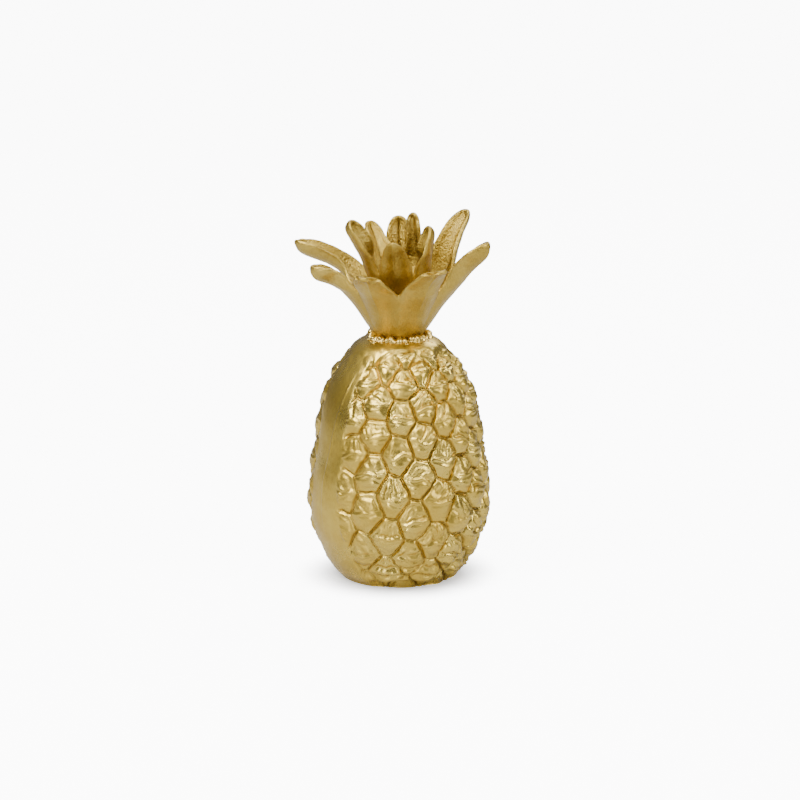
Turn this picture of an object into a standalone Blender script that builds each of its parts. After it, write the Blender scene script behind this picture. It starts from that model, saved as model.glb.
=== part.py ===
"""Pineapple sculpture: a hollow-cast fruit with carved eyes and a crown of two nested leaf castings.

The base lies on z = 0 with the axis along +Z. Azimuths are in degrees, 0 at the front (-Y) and growing
towards +X. The fruit was cast in two halves that meet in the plane y = 0, where a band is ground smooth.
"""

import bisect
import math
from typing import NamedTuple

import bmesh
import bpy
from mathutils import Vector

MM = 0.001

# Fruit: heights and radii over the tops of the eyes. The outline runs on past the base and the top,
# where the flat cuts then go through whole eyes.
FRUIT_OUTLINE = [(-16.0, 6.0), (-9.0, 22.5), (0.0, 33.0), (5.4, 38.0), (16.2, 43.9), (33.8, 50.0),
                 (54.0, 50.5), (74.3, 47.6), (94.6, 44.6), (110.8, 39.2), (122.5, 31.5),
                 (129.1, 25.0), (132.2, 20.4), (137.0, 12.0), (141.0, 5.0)]
OUTLINE_STEPS = 24
BASE_POINT = 2
FRUIT_TOP = 132.2 * MM

# Eyes: one spiral of points, each a fixed turn and a shrinking rise after the last one. The shifts are
# how far, in degrees and in millimetres along the outline, the eyes of the seen side stray from it.
EYE_FIRST, EYE_LAST = -91, 98
EYE_TURN = -34.14
EYE_START_AZIMUTH = -34.5
EYE_START_ARC = 81.5 * MM
EYE_RISE = 1.02 * MM
EYE_RISE_LOSS = 0.0015 * MM
EYE_WANDER = 0.9
EYE_SHIFTS = {-43: (-3.5, -3.0), -42: (0.0, 0.8), -32: (-1.0, -0.6), -31: (4.0, 2.8), -22: (-3.0, -1.4),
              -21: (0.5, 0.1), -11: (-1.0, -0.4), -10: (1.1, 1.1), -1: (0.4, -0.5), 0: (1.5, 1.1),
              1: (3.6, 0.0), 9: (-1.0, -2.4), 10: (0.0, -1.0), 11: (-1.0, 0.6), 20: (1.3, -0.8),
              21: (1.4, 0.5), 22: (-2.4, -2.4), 31: (0.0, -3.2), 32: (-3.0, -2.8), 42: (0.0, 1.4)}
GROOVE_DEPTH = 2.3 * MM
RIM_DEPTH = 0.75 * MM
BROW_DEPTH = 0.95 * MM
RIM_SHARE = 0.10
PAD_SHARE = 0.17
CREST_DROP = 2.2 * MM
CUT_SNAP = 1.5 * MM
CUT_CLEAR = 0.4 * MM
# Heights count for less than widths when cells are shared out, which gives the eyes their level tops
EYE_SQUASH = 0.84

# Ground band along the parting line, and the smooth collar under the crown
BAND_HALF_WIDTH = 12.0 * MM
BAND_FOOT_SPREAD = 4.0 * MM
BAND_FOOT_HEIGHT = 60.0 * MM
BAND_DEPTH = 1.15 * MM
BAND_FADE = 3.5 * MM
COLLAR_START = 125.5 * MM
COLLAR_END = 130.5 * MM

# Clear distance between touching pieces
GAP = 0.3 * MM

# Crown castings
LEAF_THICKNESS = 2.0 * MM
LEAF_COLUMNS = 6
CUP_LEVELS = (0.0, 0.06, 0.16, 0.33, 0.62, 1.0)
BLADE_ROWS = 9
START_PULL = 0.4
END_PULL = 0.38
TIP_ROUNDING = 0.8
TIP_END_WIDTH = 0.42
TROUGH_REACH = 0.5
TIP_LIFT = 0.6

# Weld bead round the crown's foot
WELD_RADIUS = 15.9 * MM
WELD_THICKNESS = 1.4 * MM
WELD_HEIGHT = 1.45 * MM
WELD_LUMPS = [(11, 0.35, 0.4), (17, 0.3, 2.1), (29, 0.22, 4.0)]
WELD_OUTER_LIMIT = 17.4 * MM


class Leaf(NamedTuple):
    """Angles in degrees, sizes in millimetres.

    The blade leaves the cup at its rise above level and reaches its tip at its pitch. Trough is the depth of
    its channel against that of the cup's own curve. Neck is the share of its length over which it narrows,
    and roll turns the blade about its middle line.
    """

    base_azimuth: float
    tip_azimuth: float
    tip_radius: float
    tip_height: float
    tip_pitch: float
    half_width: float
    rise: float
    trough: float
    neck: float
    roll: float = 0.0


class Whorl(NamedTuple):
    """A cup whose rim splits into leaves."""

    cup: list
    notch_height: float
    pinch: float
    leaves: list


OUTER_WHORL = Whorl(
    cup=[(13.4, 132.5), (14.0, 134.6), (16.0, 138.2), (18.8, 142.0), (24.1, 150.3), (29.0, 156.4),
         (31.8, 159.7)],
    notch_height=159.7,
    pinch=0.15,
    leaves=[
        Leaf(-161.6, -141.0, 60.8, 177.0, 14.0, 7.6, 31.0, 2.2, 0.36),
        Leaf(-110.1, -107.0, 51.3, 167.6, 18.0, 7.4, 28.0, 2.1, 0.4),
        Leaf(-58.7, -57.0, 46.8, 169.3, -18.0, 7.2, 48.0, 0.9, 0.85),
        Leaf(-7.3, -3.0, 48.2, 173.3, -4.0, 8.0, 56.0, 0.8, 0.9),
        Leaf(44.1, 38.0, 53.8, 182.0, 36.0, 7.6, 50.0, 1.8, 0.42),
        Leaf(95.6, 97.5, 51.5, 194.8, 50.0, 8.0, 56.0, 1.2, 0.3),
        Leaf(147.0, 147.0, 38.0, 191.8, 70.0, 7.0, 68.0, 1.0, 0.4),
    ],
)

INNER_WHORL = Whorl(
    cup=[(10.2, 136.0), (11.0, 142.0), (12.8, 151.0), (15.0, 160.5), (18.2, 169.0)],
    notch_height=169.0,
    pinch=0.10,
    leaves=[
        Leaf(-107.0, -107.0, 29.2, 196.2, 66.0, 6.8, 72.0, 1.2, 0.5, 25.0),
        Leaf(-41.0, -40.0, 27.5, 186.5, 48.0, 5.9, 70.0, 0.9, 1.0),
        Leaf(34.0, 34.0, 18.2, 194.0, 84.0, 5.6, 82.0, 1.1, 0.7),
        Leaf(106.0, 106.0, 13.4, 199.6, 93.0, 5.0, 88.0, 1.1, 0.5),
        Leaf(178.0, 178.0, 32.6, 189.4, 44.0, 5.6, 62.0, 1.2, 0.5),
    ],
)


def smoothstep(low, high, value):
    """A soft ramp from 0 at low to 1 at high."""
    ramp = min(max((value - low) / (high - low), 0.0), 1.0)
    return ramp * ramp * (3.0 - 2.0 * ramp)


def catmull_rom(points, steps):
    """A smooth curve of (radius, height) pairs through the given points."""
    ends = [points[0]] + list(points) + [points[-1]]
    curve = []
    for before, start, end, after in zip(ends, ends[1:], ends[2:], ends[3:]):
        for step in range(steps):
            t = step / steps
            curve.append(tuple(
                0.5 * (2 * b + (c - a) * t + (2 * a - 5 * b + 4 * c - d) * t * t
                       + (3 * b - a - 3 * c + d) * t * t * t)
                for a, b, c, d in zip(before, start, end, after)))
    curve.append(tuple(points[-1]))
    return curve


def place(azimuth, radius, height):
    """The point at an azimuth in degrees."""
    angle = math.radians(azimuth)
    return Vector((radius * math.sin(angle), -radius * math.cos(angle), height))


class FruitSkin:
    """The turned surface over the tops of the eyes, read by its arc length from the base or by its spread.

    The spread is the arc length over the radius, summed along the outline.
    """

    def __init__(self):
        outline = [(radius * MM, height * MM) for height, radius in FRUIT_OUTLINE]
        self.curve = catmull_rom(outline, OUTLINE_STEPS)
        arcs = [0.0]
        spreads = [0.0]
        for (r0, z0), (r1, z1) in zip(self.curve, self.curve[1:]):
            step = math.hypot(r1 - r0, z1 - z0)
            arcs.append(arcs[-1] + step)
            spreads.append(spreads[-1] + step / (0.5 * (r0 + r1)))
        base = BASE_POINT * OUTLINE_STEPS
        self.arcs = [arc - arcs[base] for arc in arcs]
        middle = spreads[len(spreads) // 2]
        self.spreads = [spread - middle for spread in spreads]

    def at(self, keys, key):
        """Radius, height and outward normal where the table of keys reaches key."""
        index = min(max(bisect.bisect_right(keys, key), 1), len(keys) - 1)
        share = (key - keys[index - 1]) / (keys[index] - keys[index - 1])
        share = min(max(share, 0.0), 1.0)
        (r0, z0), (r1, z1) = self.curve[index - 1], self.curve[index]
        length = math.hypot(r1 - r0, z1 - z0)
        normal = ((z1 - z0) / length, (r0 - r1) / length)
        return r0 + (r1 - r0) * share, z0 + (z1 - z0) * share, normal

    def spread_at_arc(self, arc):
        """The conformal height of an arc length, so that eyes keep their shape on a sphere."""
        index = min(max(bisect.bisect_right(self.arcs, arc), 1), len(self.arcs) - 1)
        share = (arc - self.arcs[index - 1]) / (self.arcs[index] - self.arcs[index - 1])
        return self.spreads[index - 1] + (self.spreads[index] - self.spreads[index - 1]) * share

    def nearest(self, point):
        """Radius, height and normal of the outline nearest to a point."""
        radius = math.hypot(point.x, point.y)
        distances = [(r - radius) ** 2 + (z - point.z) ** 2 for r, z in self.curve]
        index = min(max(distances.index(min(distances)), 1), len(self.curve) - 1)
        return self.at(self.arcs, self.arcs[index])


def eye_centres():
    """Azimuth in degrees and arc length of each eye, each a little off the even spiral."""
    centres = []
    for index in range(EYE_FIRST, EYE_LAST + 1):
        wander = (EYE_WANDER * math.sin(index * 4.1), EYE_WANDER * math.sin(index * 2.4))
        turn, climb = EYE_SHIFTS.get(index, wander)
        arc = EYE_START_ARC + EYE_RISE * index - EYE_RISE_LOSS * index * index + climb * MM
        centres.append((EYE_START_AZIMUTH + EYE_TURN * index + turn, arc))
    return centres


def relief_share(point):
    """How much of the carving shows at a point: none on the ground band and the collar."""
    foot = 1.0 - smoothstep(0.0, BAND_FOOT_HEIGHT, point.z)
    band = BAND_HALF_WIDTH + BAND_FOOT_SPREAD * foot
    share = smoothstep(band, band + BAND_FADE, abs(point.y))
    return share * (1.0 - smoothstep(COLLAR_START, COLLAR_END, point.z))


def lay_on_skin(skin, vert, depth):
    """Puts a vertex at a depth under the skin, or at the ground band's depth where that was ground.

    Vertices on a flat cut stay level.
    """
    radius, height, normal = skin.nearest(vert.co)
    azimuth = math.degrees(math.atan2(vert.co.x, -vert.co.y))
    share = relief_share(vert.co)
    if on_cut(vert.co.z):
        radius = math.hypot(vert.co.x, vert.co.y) - min(depth, BAND_DEPTH)
        vert.co = place(azimuth, radius, vert.co.z)
        return
    sunk = depth * share + BAND_DEPTH * (1.0 - share)
    height = min(max(height - normal[1] * sunk, CUT_CLEAR), FRUIT_TOP - CUT_CLEAR)
    vert.co = place(azimuth, radius - normal[0] * sunk, height)


def cell_mesh(skin):
    """Eye cells over the whole skin: the dual of the net that joins neighbouring eye centres."""
    bm = bmesh.new()
    for azimuth, arc in eye_centres():
        latitude = 2.0 * math.atan(math.exp(EYE_SQUASH * skin.spread_at_arc(arc))) - math.pi / 2.0
        bm.verts.new(place(azimuth, math.cos(latitude), math.sin(latitude)))
    bmesh.ops.convex_hull(bm, input=list(bm.verts))
    net_edges = list(bm.edges)
    centres = list(bm.verts)
    corners = bmesh.ops.poke(bm, faces=list(bm.faces))["verts"]
    for corner in corners:
        ring = [edge.other_vert(corner).co for edge in corner.link_edges]
        normal = (ring[1] - ring[0]).cross(ring[2] - ring[0]).normalized()
        corner.co = normal if normal.dot(corner.co) > 0.0 else -normal
    bmesh.ops.rotate_edges(bm, edges=net_edges, use_ccw=False)
    bmesh.ops.dissolve_verts(bm, verts=centres)
    for vert in bm.verts:
        latitude = math.asin(min(max(vert.co.z, -0.9999), 0.9999))
        spread = math.log(math.tan(math.pi / 4.0 + latitude / 2.0)) / EYE_SQUASH
        azimuth = math.degrees(math.atan2(vert.co.x, -vert.co.y))
        radius, height, _ = skin.at(skin.spreads, spread)
        vert.co = place(azimuth, radius, height)
    bmesh.ops.remove_doubles(bm, verts=list(bm.verts), dist=0.0004)
    bmesh.ops.recalc_face_normals(bm, faces=list(bm.faces))
    return bm


def inset_cells(bm, cells, share):
    """Insets each cell by a share of its width, and returns the new vertices."""
    before = set(bm.verts)
    for cell in cells:
        width = 4.0 * cell.calc_area() / cell.calc_perimeter()
        bmesh.ops.inset_individual(bm, faces=[cell], thickness=share * width, use_even_offset=True)
    return [vert for vert in bm.verts if vert not in before]


def carve_eyes(bm, skin):
    """Gives each cell a groove round it, a rim, and a pad that bulges below the middle."""
    groove = list(bm.verts)
    cells = [face for face in bm.faces if not is_cap(face)]
    rim = inset_cells(bm, cells, RIM_SHARE)
    pad = inset_cells(bm, cells, PAD_SHARE)
    pad_middles = {vert: cell.calc_center_median() for cell in cells for vert in cell.verts}
    crests = bmesh.ops.poke(bm, faces=cells)["verts"]
    for vert in groove:
        lay_on_skin(skin, vert, GROOVE_DEPTH)
    for vert in rim:
        lay_on_skin(skin, vert, RIM_DEPTH)
    for vert in pad:
        brow = smoothstep(-1.0 * MM, 3.0 * MM, vert.co.z - pad_middles[vert].z)
        lay_on_skin(skin, vert, BROW_DEPTH * brow)
    for vert in crests:
        vert.co.z = max(vert.co.z - CREST_DROP, CREST_DROP)
        lay_on_skin(skin, vert, 0.0)


def cut_flat(bm, height, keep_above):
    """Cuts the cells level at a height, through the corners that lie close to it, and closes the cut."""
    for vert in bm.verts:
        if abs(vert.co.z - height) < CUT_SNAP:
            vert.co.z = height
    everything = list(bm.verts) + list(bm.edges) + list(bm.faces)
    bmesh.ops.bisect_plane(bm, geom=everything, dist=0.00002, plane_co=(0, 0, height), plane_no=(0, 0, 1),
                           clear_inner=keep_above, clear_outer=not keep_above)
    bmesh.ops.holes_fill(bm, edges=[edge for edge in bm.edges if edge.is_boundary])


def is_cap(face):
    """Whether a face is the flat foot or the flat top."""
    return all(on_cut(vert.co.z) for vert in face.verts)


def on_cut(height):
    """Whether a height is that of the foot or of the top."""
    return min(abs(height), abs(height - FRUIT_TOP)) < 0.01 * MM


def fruit_mesh():
    """The carved fruit, flat below and where the crown stands on it."""
    skin = FruitSkin()
    bm = cell_mesh(skin)
    cut_flat(bm, 0.0, keep_above=True)
    cut_flat(bm, FRUIT_TOP, keep_above=False)
    carve_eyes(bm, skin)
    bmesh.ops.recalc_face_normals(bm, faces=list(bm.faces))
    return bm


class WhorlSurface:
    """The outer face of a leaf casting: a lobed cup below, and one curved blade for each leaf above."""

    def __init__(self, whorl):
        self.whorl = whorl
        self.cup = [(radius * MM, height * MM) for radius, height in catmull_rom(whorl.cup, 8)]
        self.floor = whorl.cup[0][1] * MM
        self.notch = whorl.notch_height * MM

    def cup_radius(self, height):
        """Radius of the cup at a leaf's middle."""
        for (r0, z0), (r1, z1) in zip(self.cup, self.cup[1:]):
            if height <= z1:
                break
        return r0 + (r1 - r0) * (height - z0) / (z1 - z0)

    def half_sectors(self, number):
        """Angles from a leaf's middle to the notch on each side of it."""
        leaves = self.whorl.leaves
        middle = leaves[number].base_azimuth
        left = leaves[number - 1].base_azimuth
        right = leaves[(number + 1) % len(leaves)].base_azimuth
        return ((middle - left) % 360.0) / 2.0, ((right - middle) % 360.0) / 2.0

    def cup_point(self, number, across, up):
        """A point of the cup. Across runs from -1 to 1 between the notches, up from 0 to 1 at the notch."""
        left, right = self.half_sectors(number)
        azimuth = self.whorl.leaves[number].base_azimuth + across * (left if across < 0.0 else right)
        height = self.floor + (self.notch - self.floor) * up
        radius = self.cup_radius(height) * (1.0 - self.whorl.pinch * up * up * across * across)
        return place(azimuth, radius, height)

    def middle_line(self, number, along):
        """A point of the blade's middle line. Along runs from 0 at the notch to 1 at the tip."""
        leaf = self.whorl.leaves[number]
        start = (self.cup_radius(self.notch), self.notch)
        end = (leaf.tip_radius * MM, leaf.tip_height * MM)
        length = math.dist(start, end)
        rise, pitch = math.radians(leaf.rise), math.radians(leaf.tip_pitch)
        leaving = (start[0] + START_PULL * length * math.cos(rise),
                   start[1] + START_PULL * length * math.sin(rise))
        arriving = (end[0] - END_PULL * length * math.cos(pitch),
                    end[1] - END_PULL * length * math.sin(pitch))
        rest = 1.0 - along
        shares = (rest ** 3, 3 * rest * rest * along, 3 * rest * along * along, along ** 3)
        radius, height = (sum(share * point[axis] for share, point in
                              zip(shares, (start, leaving, arriving, end))) for axis in (0, 1))
        turn = smoothstep(0.0, 1.0, along) * (leaf.tip_azimuth - leaf.base_azimuth)
        return place(leaf.base_azimuth + turn, radius, height)

    def frame(self, number, along):
        """Directions along the blade, across it, and up out of its inner face."""
        step = 0.01
        start, end = max(along - step, 0.0), min(along + step, 1.0)
        tangent = (self.middle_line(number, end) - self.middle_line(number, start)).normalized()
        middle = self.middle_line(number, along)
        side = Vector((-middle.y, middle.x, 0.0)).normalized()
        side = (side - tangent * side.dot(tangent)).normalized()
        roll = math.radians(self.whorl.leaves[number].roll) * smoothstep(0.0, TROUGH_REACH, along)
        side = side * math.cos(roll) + tangent.cross(side) * math.sin(roll)
        return tangent, side, tangent.cross(side)

    def blade_point(self, number, across, along):
        """A point of the blade, which starts as the cup's rim and tapers to a rounded tip."""
        leaf = self.whorl.leaves[number]
        tangent, side, up = self.frame(number, 0.0)
        offset = self.cup_point(number, across, 1.0) - self.middle_line(number, 0.0)
        rim_width = abs((self.cup_point(number, 1.0, 1.0) - self.middle_line(number, 0.0)).dot(side))
        narrowing = smoothstep(0.0, leaf.neck, along)
        scale = 1.0 + (leaf.half_width * MM / rim_width - 1.0) * narrowing
        turn = max(along - TIP_ROUNDING, 0.0) / (1.0 - TIP_ROUNDING)
        rounding = TIP_END_WIDTH + (1.0 - TIP_END_WIDTH) * math.sqrt(1.0 - turn * turn)
        trough = 1.0 + (leaf.trough - 1.0) * smoothstep(0.0, TROUGH_REACH, along)
        edge = (self.cup_point(number, 1.0, 1.0) - self.middle_line(number, 0.0)).dot(up)
        lift = TIP_LIFT * (1.0 - rounding) * edge
        here = self.frame(number, along)
        return (self.middle_line(number, along)
                + here[1] * (offset.dot(side) * scale * rounding)
                + here[2] * ((offset.dot(up) * rounding + lift) * scale * trough)
                + here[0] * (offset.dot(tangent) * (1.0 - along) ** 3))


def whorl_mesh(whorl):
    """The casting's outer face with its floor, one mapped grid for each leaf, joined below the notches."""
    surface = WhorlSurface(whorl)
    bm = bmesh.new()
    cup_rows = len(CUP_LEVELS) - 1
    rows = cup_rows + BLADE_ROWS
    for number in range(len(whorl.leaves)):
        grid = bmesh.ops.create_grid(bm, x_segments=LEAF_COLUMNS, y_segments=rows, size=0.5)
        for vert in grid["verts"]:
            across = 2.0 * vert.co.x
            row = round((vert.co.y + 0.5) * rows)
            if row <= cup_rows:
                vert.co = surface.cup_point(number, across, CUP_LEVELS[row])
            else:
                step = (row - cup_rows) / BLADE_ROWS
                vert.co = surface.blade_point(number, across, step * (1.3 - 0.3 * step))
    bmesh.ops.remove_doubles(bm, verts=list(bm.verts), dist=0.00002)
    floor = surface.floor
    floor_edges = [edge for edge in bm.edges
                   if edge.is_boundary and all(abs(vert.co.z - floor) < 0.00001 for vert in edge.verts)]
    bmesh.ops.holes_fill(bm, edges=floor_edges)
    bmesh.ops.recalc_face_normals(bm, faces=list(bm.faces))
    floor_face = min(bm.faces, key=lambda face: face.calc_center_median().z)
    if floor_face.normal.z > 0.0:
        bmesh.ops.reverse_faces(bm, faces=list(bm.faces))
    return bm


def weld_mesh():
    """The lumpy bead: a ring that keeps clear of the crown's foot inside it and the fruit below it."""
    cup = WhorlSurface(OUTER_WHORL)
    floor = FRUIT_TOP + GAP
    bm = bmesh.new()
    profile = [bm.verts.new((WELD_RADIUS + WELD_THICKNESS * math.cos(angle), 0.0,
                             floor + WELD_HEIGHT * (1.0 + math.sin(angle))))
               for angle in (step * math.tau / 10 for step in range(10))]
    ring = [bm.edges.new((a, b)) for a, b in zip(profile, profile[1:] + profile[:1])]
    bmesh.ops.spin(bm, geom=profile + ring, cent=(0, 0, 0), axis=(0, 0, 1), angle=math.tau, steps=42,
                   use_merge=True)
    for vert in bm.verts:
        azimuth = math.atan2(vert.co.x, -vert.co.y)
        lump = sum(size * math.sin(count * azimuth + phase) for count, size, phase in WELD_LUMPS)
        radius = math.hypot(vert.co.x, vert.co.y) + 0.9 * lump * MM
        height = vert.co.z + 0.9 * MM * lump * smoothstep(floor, floor + WELD_HEIGHT, vert.co.z)
        height = max(height, floor)
        clear = cup.cup_radius(max(height, cup.floor)) + GAP + 0.15 * MM
        radius = min(max(radius, clear), WELD_OUTER_LIMIT + 0.35 * (height - floor))
        vert.co = place(math.degrees(azimuth), radius, height)
    bmesh.ops.recalc_face_normals(bm, faces=list(bm.faces))
    return bm


def gold(name, colour, roughness):
    """A satin gold finish."""
    material = bpy.data.materials.new(name)
    material.use_nodes = True
    shader = material.node_tree.nodes["Principled BSDF"]
    shader.inputs["Base Color"].default_value = (*colour, 1.0)
    shader.inputs["Metallic"].default_value = 1.0
    shader.inputs["Roughness"].default_value = roughness
    return material


def add_object(name, bm, collection, material):
    """A named object of a finished mesh."""
    mesh = bpy.data.meshes.new(name)
    bm.to_mesh(mesh)
    bm.free()
    mesh.materials.append(material)
    mesh.shade_smooth()
    mesh.set_sharp_from_angle(angle=math.radians(40.0))
    obj = bpy.data.objects.new(name, mesh)
    collection.objects.link(obj)
    return obj


def add_wall(obj):
    """Gives a casting's outer face its thickness, inwards."""
    wall = obj.modifiers.new("wall", "SOLIDIFY")
    wall.thickness = LEAF_THICKNESS
    wall.offset = -1.0


def main():
    """Builds the sculpture's four pieces in a collection of their own."""
    for obj in list(bpy.data.objects):
        bpy.data.objects.remove(obj)
    collection = bpy.data.collections.new("gold_pineapple_sculpture")
    bpy.context.scene.collection.children.link(collection)
    add_object("fruit", fruit_mesh(), collection, gold("fruit_gold", (0.60, 0.43, 0.17), 0.36))
    add_object("neck_weld", weld_mesh(), collection, gold("weld_gold", (0.66, 0.49, 0.22), 0.30))
    add_wall(add_object("outer_leaves", whorl_mesh(OUTER_WHORL), collection,
                        gold("outer_leaf_gold", (0.58, 0.41, 0.15), 0.38)))
    add_wall(add_object("inner_leaves", whorl_mesh(INNER_WHORL), collection,
                        gold("inner_leaf_gold", (0.56, 0.39, 0.14), 0.40)))


main()
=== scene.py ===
"""Looks of the gold pineapple sculpture: carved fruit, weld bead and two leaf castings in satin gold.

Sizes are in metres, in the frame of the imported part: base on z = 0, front half towards -Y. Azimuths are 0 at
the front and grow towards +X.
"""

import logging
import math
from dataclasses import dataclass, field
from enum import Enum

import bmesh
import bpy
import numpy as np
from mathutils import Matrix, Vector, noise


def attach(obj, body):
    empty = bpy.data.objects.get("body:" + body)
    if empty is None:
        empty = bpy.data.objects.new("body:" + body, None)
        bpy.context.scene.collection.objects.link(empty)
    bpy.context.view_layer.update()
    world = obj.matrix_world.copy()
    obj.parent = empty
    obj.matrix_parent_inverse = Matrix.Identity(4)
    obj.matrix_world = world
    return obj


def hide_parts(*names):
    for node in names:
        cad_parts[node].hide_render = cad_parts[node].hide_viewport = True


LOG = logging.getLogger("pineapple_scene")
MM = 0.001
CAMERA_AZIMUTH = -33.0

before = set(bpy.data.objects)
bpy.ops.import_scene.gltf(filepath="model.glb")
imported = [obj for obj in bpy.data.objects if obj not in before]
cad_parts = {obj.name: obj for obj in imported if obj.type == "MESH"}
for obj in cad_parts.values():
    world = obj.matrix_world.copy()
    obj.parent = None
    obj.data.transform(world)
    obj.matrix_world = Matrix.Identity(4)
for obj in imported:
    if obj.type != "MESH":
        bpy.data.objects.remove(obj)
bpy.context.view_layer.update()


class Slot(Enum):
    """Material slots of the record."""

    FRUIT = "fruit_gold"
    WELD = "weld_gold"
    LEAF = "leaf_gold"


def smoothstep(low: float, high: float, value):
    """A soft ramp from 0 at low to 1 at high, for numbers and arrays.

    Args:
        low: Where the ramp starts.
        high: Where the ramp ends.
        value: What is ramped.

    Returns:
        The ramp's value, between 0 and 1.
    """
    ramp = np.clip((value - low) / (high - low), 0.0, 1.0)
    return ramp * ramp * (3.0 - 2.0 * ramp)


def bell(value, width: float):
    """A bump of height 1 at 0 and of the given half width."""
    return np.exp(-(value / width) ** 2)


def catmull_rom(points: list, steps: int) -> list:
    """A smooth curve through pairs of numbers.

    Args:
        points: The pairs that it passes through.
        steps: Pieces between neighbouring pairs.

    Returns:
        The curve's pairs.
    """
    ends = [points[0]] + list(points) + [points[-1]]
    curve = []
    for before, start, end, after in zip(ends, ends[1:], ends[2:], ends[3:]):
        for step in range(steps):
            t = step / steps
            curve.append(tuple(
                0.5 * (2 * b + (c - a) * t + (2 * a - 5 * b + 4 * c - d) * t * t
                       + (3 * b - a - 3 * c + d) * t * t * t)
                for a, b, c, d in zip(before, start, end, after)))
    curve.append(tuple(points[-1]))
    return curve


def place(azimuth: float, radius: float, height: float) -> Vector:
    """The point at an azimuth in degrees."""
    angle = math.radians(azimuth)
    return Vector((radius * math.sin(angle), -radius * math.cos(angle), height))


def aim(obj: bpy.types.Object, target: Vector, azimuth: float, elevation: float, distance: float) -> None:
    """Adds a light or camera to the scene, at some distance from a target and turned to it.

    Args:
        obj: The light or camera.
        target: The point that it looks at.
        azimuth: Its azimuth as seen from the target, in degrees.
        elevation: Its elevation as seen from the target, in degrees.
        distance: Its distance in metres.
    """
    angle = math.radians(elevation)
    obj.location = target + place(azimuth, distance * math.cos(angle), distance * math.sin(angle))
    obj.rotation_euler = (target - obj.location).to_track_quat("-Z", "Y").to_euler()
    bpy.context.scene.collection.objects.link(obj)


def noise_at(points: np.ndarray, scale: float, shift: float) -> np.ndarray:
    """Smooth noise between about -1 and 1 at each point.

    Args:
        points: Rows of three coordinates.
        scale: Waves for each unit of length.
        shift: Moves the pattern, so that two uses differ.

    Returns:
        One value for each row.
    """
    moved = points * scale + shift
    return np.array([noise.noise(row) for row in moved.tolist()])


def billow(axes: tuple, shift: float, gain: float, top: float) -> np.ndarray:
    """Rounded folds: noise with its lower half turned up.

    Args:
        axes: The three coordinates in which the folds are laid out.
        shift: Moves the pattern, so that two uses differ.
        gain: What the noise is multiplied by.
        top: The height at which it is cut off.

    Returns:
        One height for each point.
    """
    return np.minimum(gain * np.abs(noise_at(np.stack(axes, axis=1), 1.0, shift)), top)


def mesh_from(bm: bmesh.types.BMesh, name: str) -> bpy.types.Mesh:
    """A mesh with the faces of a bmesh, which is then freed.

    Args:
        bm: The bmesh.
        name: The mesh's name.

    Returns:
        The mesh.
    """
    mesh = bpy.data.meshes.new(name)
    bm.to_mesh(mesh)
    bm.free()
    return mesh


def add_piece(name: str, mesh: bpy.types.Mesh, material: bpy.types.Material,
              nodes: list) -> bpy.types.Object:
    """A finished piece that rides on the frame and stands for CAD nodes.

    Args:
        name: The piece's name.
        mesh: Its mesh, in place.
        material: Its material.
        nodes: CAD nodes that it stands for.

    Returns:
        The piece.
    """
    mesh.materials.append(material)
    obj = bpy.data.objects.new(name, mesh)
    bpy.context.scene.collection.objects.link(obj)
    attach(obj, "root")
    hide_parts(*nodes)
    LOG.info("%s: %d faces", name, len(mesh.polygons))
    return obj


# Materials


class NodeTree:
    """Short calls for building one node tree."""

    def __init__(self, tree: bpy.types.NodeTree):
        self.tree = tree

    def node(self, kind: str, settings: dict | None = None, values: dict | None = None) -> bpy.types.Node:
        """Adds a node.

        Args:
            kind: The node's type name.
            settings: Attributes to set.
            values: Input sockets, by name or number, to set or to link from.

        Returns:
            The node.
        """
        made = self.tree.nodes.new(kind)
        for key, value in (settings or {}).items():
            setattr(made, key, value)
        for key, value in (values or {}).items():
            if isinstance(value, bpy.types.NodeSocket):
                self.tree.links.new(value, made.inputs[key])
            else:
                made.inputs[key].default_value = value
        return made

    def noise(self, vector, scale: float, detail: float, roughness: float = 0.5):
        """The value of a noise texture."""
        made = self.node("ShaderNodeTexNoise",
                         values={"Vector": vector, "Scale": scale, "Detail": detail, "Roughness": roughness})
        return made.outputs["Factor" if "Factor" in made.outputs else "Fac"]

    def ramp(self, value, low: float, high: float, start: float = 0.0, end: float = 1.0):
        """Maps the range low to high onto start to end, smoothly and clamped."""
        made = self.node("ShaderNodeMapRange", {"interpolation_type": "SMOOTHSTEP"},
                         {"Value": value, "From Min": low, "From Max": high, "To Min": start, "To Max": end})
        return made.outputs["Result"]

    def math(self, operation: str, *values):
        """The result of a math node."""
        made = self.node("ShaderNodeMath", {"operation": operation}, dict(enumerate(values)))
        return made.outputs[0]

    def mix(self, share, first, second):
        """A mix of two colours."""
        made = self.node("ShaderNodeMix", {"data_type": "RGBA"}, {"Factor": share})
        for index, value in ((6, first), (7, second)):
            if isinstance(value, bpy.types.NodeSocket):
                self.tree.links.new(value, made.inputs[index])
            else:
                made.inputs[index].default_value = (*value, 1.0)
        return made.outputs[2]


def new_group(name: str, inputs: list, outputs: list) -> tuple:
    """An empty node group.

    Args:
        name: The group's name.
        inputs: Pairs of socket name and socket type.
        outputs: Pairs of socket name and socket type.

    Returns:
        The group, its builder, its input node and its output node.
    """
    group = bpy.data.node_groups.new(name, "ShaderNodeTree")
    for socket, kind in inputs:
        group.interface.new_socket(socket, in_out="INPUT", socket_type=kind)
    for socket, kind in outputs:
        group.interface.new_socket(socket, in_out="OUTPUT", socket_type=kind)
    build = NodeTree(group)
    return group, build, build.node("NodeGroupInput"), build.node("NodeGroupOutput")


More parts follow.
